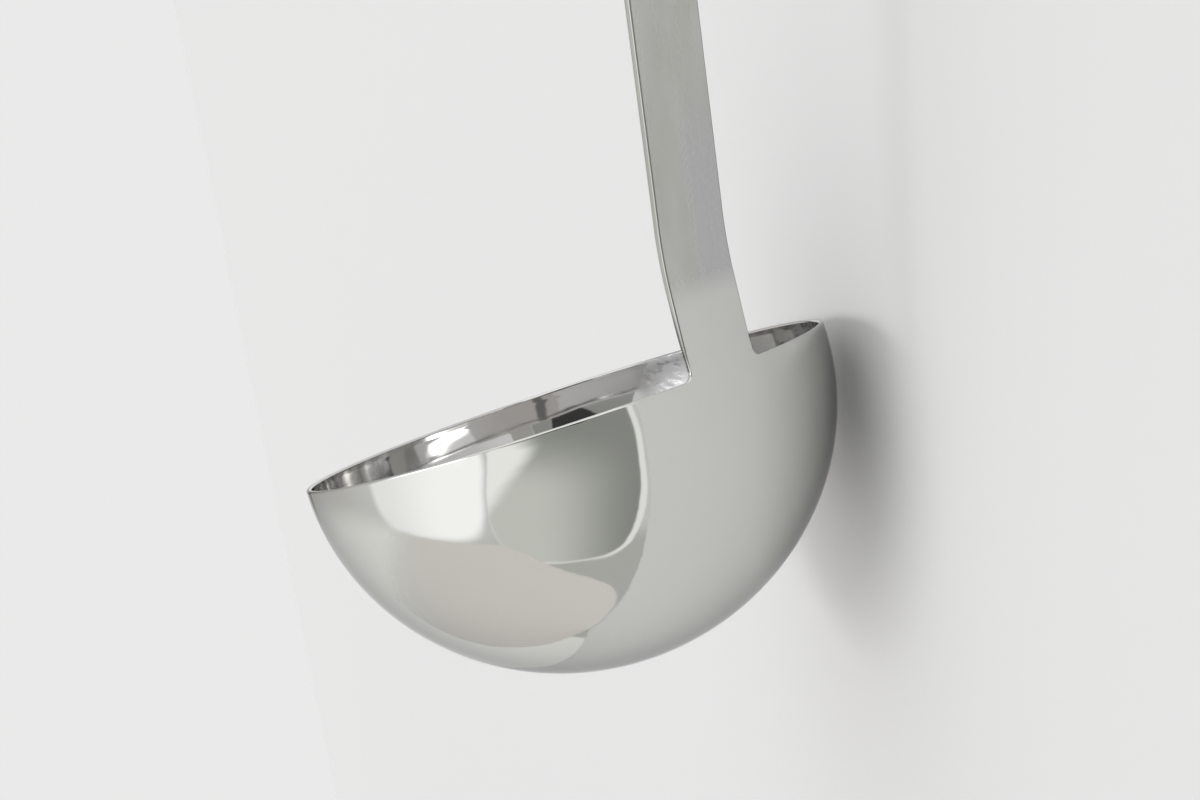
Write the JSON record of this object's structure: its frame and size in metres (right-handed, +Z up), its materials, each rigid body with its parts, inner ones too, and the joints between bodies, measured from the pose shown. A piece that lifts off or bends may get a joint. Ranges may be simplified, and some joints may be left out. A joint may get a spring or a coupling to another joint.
{
  "type": "soup ladle",
  "caption": "Polished stainless soup ladle: hemispherical bowl with a plain rim, flat strip handle welded to it that leans outward and curls back into a hanging hook.",
  "frame": {"origin": "the place inside the hook that bears on the peg or rail the ladle hangs from", "axes": "+Z up, with the ladle hanging plumb; +X the way the hook curls and the back of the handle faces; +Y sideways, square to the ladle's plane of symmetry"},
  "size_m": [0.0858, 0.09, 0.3004],
  "materials": {
    "polished_steel": "mirror polished stainless sheet with fine handling marks",
    "ground_weld": "ground flush and polished with the sheet on both sides",
    "handle_steel": "polished stainless strip with fine lengthwise polishing lines"
  },
  "bodies": {
    "root": {"bowl": "polished_steel", "weld_seam": "ground_weld", "handle": "handle_steel"}
  },
  "joints": []
}
